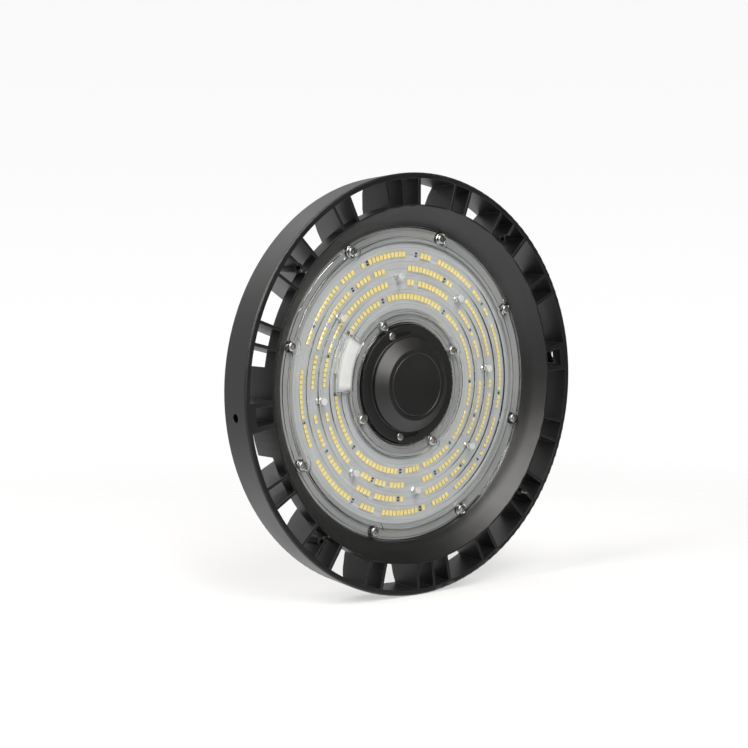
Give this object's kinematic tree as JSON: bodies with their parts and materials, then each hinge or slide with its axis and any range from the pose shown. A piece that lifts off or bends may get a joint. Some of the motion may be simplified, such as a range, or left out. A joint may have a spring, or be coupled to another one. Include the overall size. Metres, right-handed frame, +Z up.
{
  "type": "high bay light",
  "caption": "Round LED high bay light: die-cast ring on ribs, finned heat sink, clear ridged lens over LED rings, centre cap and rear driver housing.",
  "frame": {"origin": "centre of the rim's flat front face, which is the lens side and the lowest plane", "axes": "+Z up towards the suspension boss as the light hangs, lens facing -Z; +X through one bracket hole; +Y through the cable gland"},
  "size_m": [0.3, 0.3, 0.0822],
  "materials": {
    "cast_black": "satin powder coat over die-cast aluminium",
    "clear_lens": "clear moulded polycarbonate",
    "silicone": "soft, matt",
    "black_rubber": "soft, matt",
    "white_board": "white solder mask on aluminium",
    "heat_pad": "soft, matt",
    "led": "yellow phosphor in a white package",
    "chip": "black",
    "white_plastic": "moulded",
    "steel": "stainless",
    "cap_black": "fine moulded grain",
    "black_plastic": "moulded",
    "green_board": "glass-fibre board",
    "ferrite": "ferrite and tape"
  },
  "bodies": {
    "root": {"heatsink_body": "cast_black", "lens_plate": "clear_lens", "lens_gasket_outer": "silicone", "lens_gasket_inner": "silicone", "led_board": "white_board", "thermal_pad": "heat_pad", "led_ring_1": "led", "led_ring_2": "led", "led_ring_3": "led", "led_ring_4": "led", "board_resistors": "chip", "board_connector": "white_plastic", "board_screws": "steel", "lens_screws_outer": "steel", "lens_screws_inner": "steel", "sensor_cap": "cap_black", "sensor_cap_gasket": "black_rubber", "sensor_cap_screws": "steel", "sensor_socket": "black_plastic", "rear_cover": "cast_black", "rear_cover_gasket": "silicone", "rear_cover_screws": "steel", "cable_gland_body": "black_plastic", "cable_gland_seal": "black_rubber", "cable_gland_nut": "black_plastic", "cable_gland_locknut": "black_plastic", "breather_vent": "black_plastic", "driver_tray": "white_plastic", "driver_board": "green_board", "driver_screws": "steel", "driver_transformer": "ferrite", "driver_capacitors": "black_plastic", "driver_choke": "ferrite", "driver_terminal": "white_plastic"}
  },
  "joints": []
}
